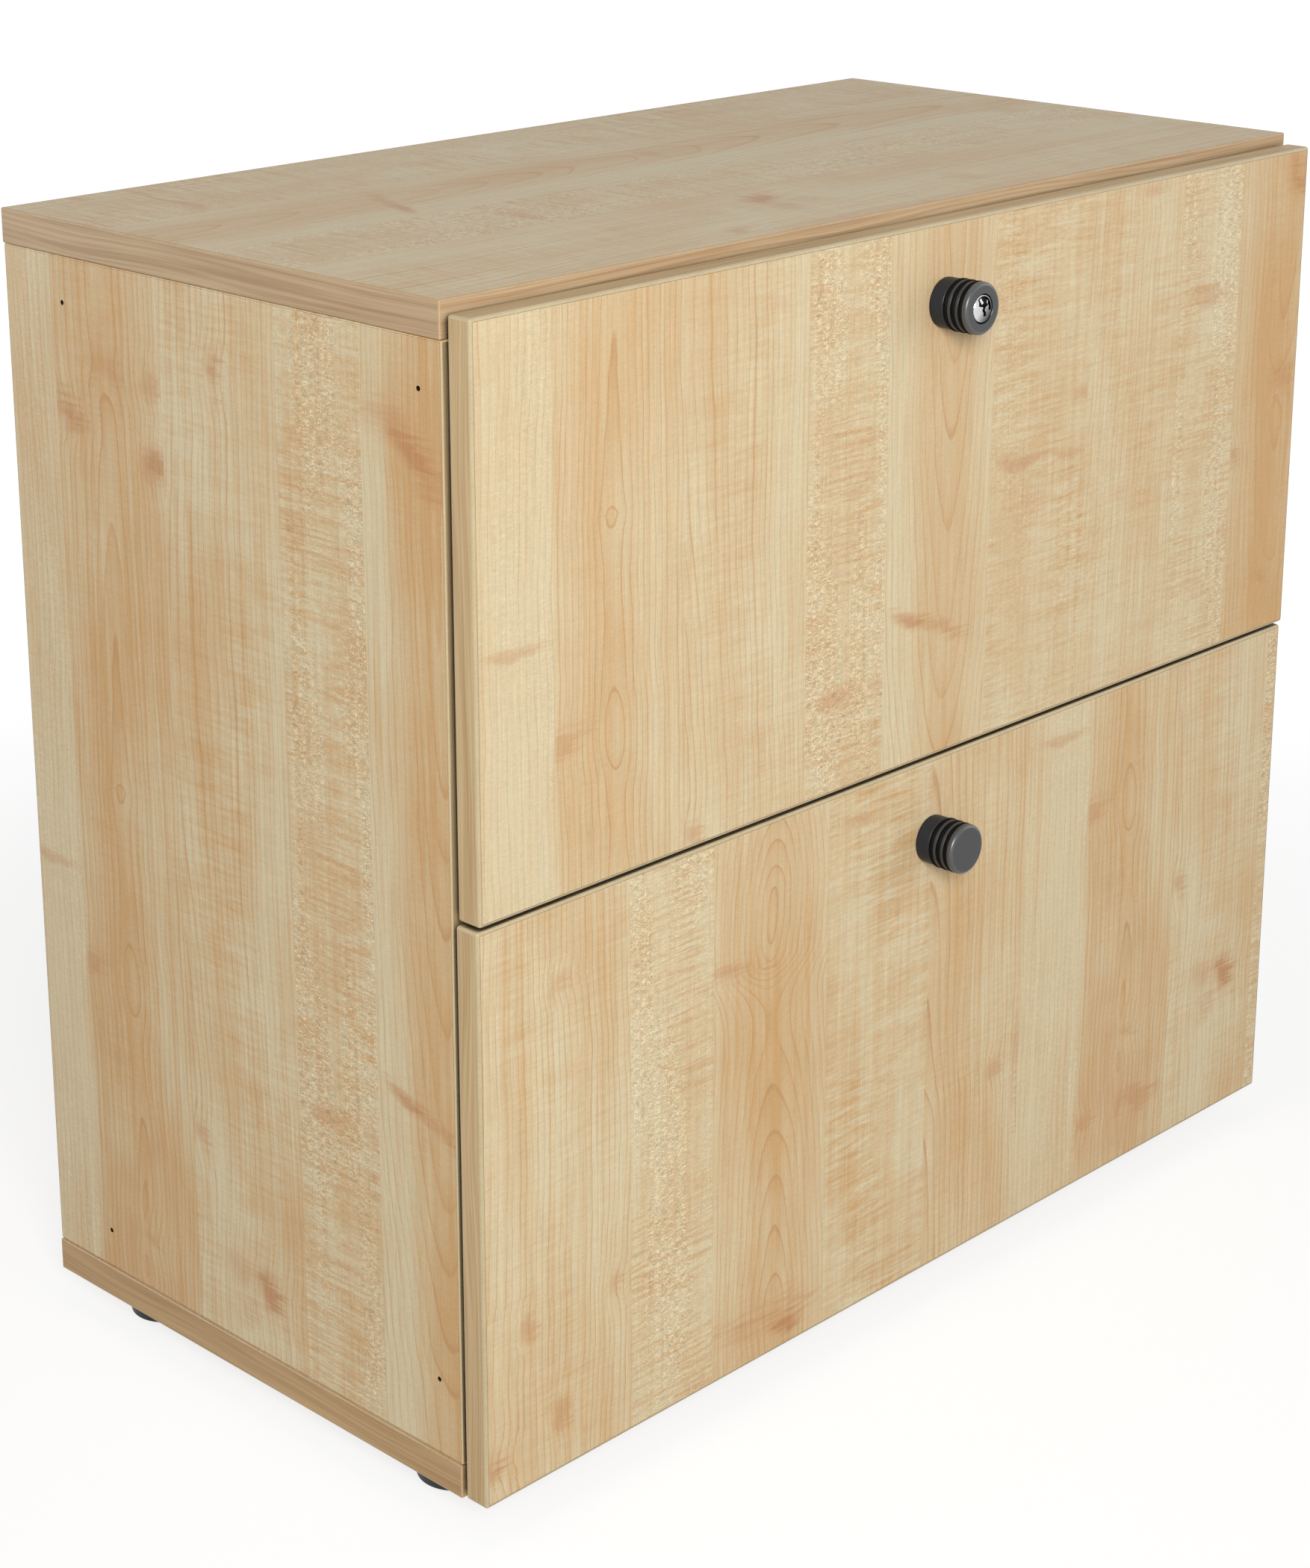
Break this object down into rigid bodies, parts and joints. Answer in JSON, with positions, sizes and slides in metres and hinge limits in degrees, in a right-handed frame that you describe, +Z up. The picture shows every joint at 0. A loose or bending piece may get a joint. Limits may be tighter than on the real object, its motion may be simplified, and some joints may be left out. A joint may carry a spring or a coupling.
{
  "type": "hanging file cabinet",
  "caption": "Freestanding maple lateral filing cabinet: drawers slide out on ball slides and carry hanging files, round ringed knobs, a cam lock in the top knob, levelling feet.",
  "frame": {"origin": "on the floor under the middle of the overall box, knobs included", "axes": "+X along the width towards the right as seen from the front, -Y towards the user in front of the drawers, +Z up"},
  "size_m": [0.8, 0.451, 0.748],
  "materials": {
    "maple_board": "maple decor board, satin, fine grain",
    "maple_front": "maple decor board with vertical grain, satin",
    "back_board": "thin back board with maple print",
    "knob_coat": "anthracite satin coat",
    "ring_rubber": "matt black rubber",
    "lock_chrome": "polished chrome",
    "zinc_steel": "zinc plated",
    "frame_paint": "grey powder coat",
    "foot_plastic": "black moulded plastic"
  },
  "bodies": {
    "cabinet": {"top_panel": "maple_board", "bottom_panel": "maple_board", "left_side_panel": "maple_board", "right_side_panel": "maple_board", "back_panel": "back_board", "front_left_foot_sleeve": "zinc_steel", "front_right_foot_sleeve": "zinc_steel", "rear_left_foot_sleeve": "zinc_steel", "rear_right_foot_sleeve": "zinc_steel", "lock_strike_plate": "zinc_steel", "upper_left_cabinet_slide": "zinc_steel", "upper_right_cabinet_slide": "zinc_steel", "lower_left_cabinet_slide": "zinc_steel", "lower_right_cabinet_slide": "zinc_steel"},
    "upper_drawer": {"upper_front": "maple_front", "upper_knob": "knob_coat", "upper_knob_ring_1": "ring_rubber", "upper_knob_ring_2": "ring_rubber", "upper_knob_ring_3": "ring_rubber", "lock_housing": "zinc_steel", "lock_nut": "zinc_steel", "upper_frame_left_side": "frame_paint", "upper_frame_right_side": "frame_paint", "upper_frame_front_rail": "frame_paint", "upper_frame_rear_rail": "frame_paint", "upper_left_file_bar": "frame_paint", "upper_right_file_bar": "frame_paint", "upper_left_front_bracket": "frame_paint", "upper_right_front_bracket": "frame_paint", "upper_left_drawer_slide": "zinc_steel", "upper_right_drawer_slide": "zinc_steel"},
    "lower_drawer": {"lower_front": "maple_front", "lower_knob": "knob_coat", "lower_knob_screw": "zinc_steel", "lower_knob_ring_1": "ring_rubber", "lower_knob_ring_2": "ring_rubber", "lower_knob_ring_3": "ring_rubber", "lower_frame_left_side": "frame_paint", "lower_frame_right_side": "frame_paint", "lower_frame_front_rail": "frame_paint", "lower_frame_rear_rail": "frame_paint", "lower_left_file_bar": "frame_paint", "lower_right_file_bar": "frame_paint", "lower_left_front_bracket": "frame_paint", "lower_right_front_bracket": "frame_paint", "lower_left_drawer_slide": "zinc_steel", "lower_right_drawer_slide": "zinc_steel"},
    "upper_left_slide": {"upper_left_middle_slide": "zinc_steel"},
    "upper_right_slide": {"upper_right_middle_slide": "zinc_steel"},
    "lower_left_slide": {"lower_left_middle_slide": "zinc_steel"},
    "lower_right_slide": {"lower_right_middle_slide": "zinc_steel"},
    "lock": {"lock_cylinder": "lock_chrome", "lock_cam": "zinc_steel", "lock_cam_screw": "zinc_steel"},
    "front_left_leveller": {"front_left_foot": "foot_plastic"},
    "front_right_leveller": {"front_right_foot": "foot_plastic"},
    "rear_left_leveller": {"rear_left_foot": "foot_plastic"},
    "rear_right_leveller": {"rear_right_foot": "foot_plastic"}
  },
  "joints": [
    {"name": "upper_drawer_slide", "type": "slide", "parent": "cabinet", "child": "upper_drawer", "axis": [0, -1, 0], "range_m": [0, 0.35]},
    {"name": "lower_drawer_slide", "type": "slide", "parent": "cabinet", "child": "lower_drawer", "axis": [0, -1, 0], "range_m": [0, 0.35]},
    {"name": "upper_left_slide_travel", "type": "slide", "parent": "cabinet", "child": "upper_left_slide", "axis": [0, -1, 0], "range_m": [0, 0.175]},
    {"name": "upper_right_slide_travel", "type": "slide", "parent": "cabinet", "child": "upper_right_slide", "axis": [0, -1, 0], "range_m": [0, 0.175]},
    {"name": "lower_left_slide_travel", "type": "slide", "parent": "cabinet", "child": "lower_left_slide", "axis": [0, -1, 0], "range_m": [0, 0.175]},
    {"name": "lower_right_slide_travel", "type": "slide", "parent": "cabinet", "child": "lower_right_slide", "axis": [0, -1, 0], "range_m": [0, 0.175]},
    {"name": "lock_turn", "type": "hinge", "parent": "upper_drawer", "child": "lock", "pos_m": [0, -0.1955, 0.69], "axis": [0, -1, 0], "range_deg": [0, 90]},
    {"name": "front_left_foot_level", "type": "slide", "parent": "cabinet", "child": "front_left_leveller", "axis": [0, 0, -1], "range_m": [0, 0.01]},
    {"name": "front_right_foot_level", "type": "slide", "parent": "cabinet", "child": "front_right_leveller", "axis": [0, 0, -1], "range_m": [0, 0.01]},
    {"name": "rear_left_foot_level", "type": "slide", "parent": "cabinet", "child": "rear_left_leveller", "axis": [0, 0, -1], "range_m": [0, 0.01]},
    {"name": "rear_right_foot_level", "type": "slide", "parent": "cabinet", "child": "rear_right_leveller", "axis": [0, 0, -1], "range_m": [0, 0.01]}
  ],
  "couplings": [
    {"joint": "upper_left_slide_travel", "follows": "upper_drawer_slide", "ratio": 0.5},
    {"joint": "upper_right_slide_travel", "follows": "upper_drawer_slide", "ratio": 0.5},
    {"joint": "lower_left_slide_travel", "follows": "lower_drawer_slide", "ratio": 0.5},
    {"joint": "lower_right_slide_travel", "follows": "lower_drawer_slide", "ratio": 0.5}
  ]
}
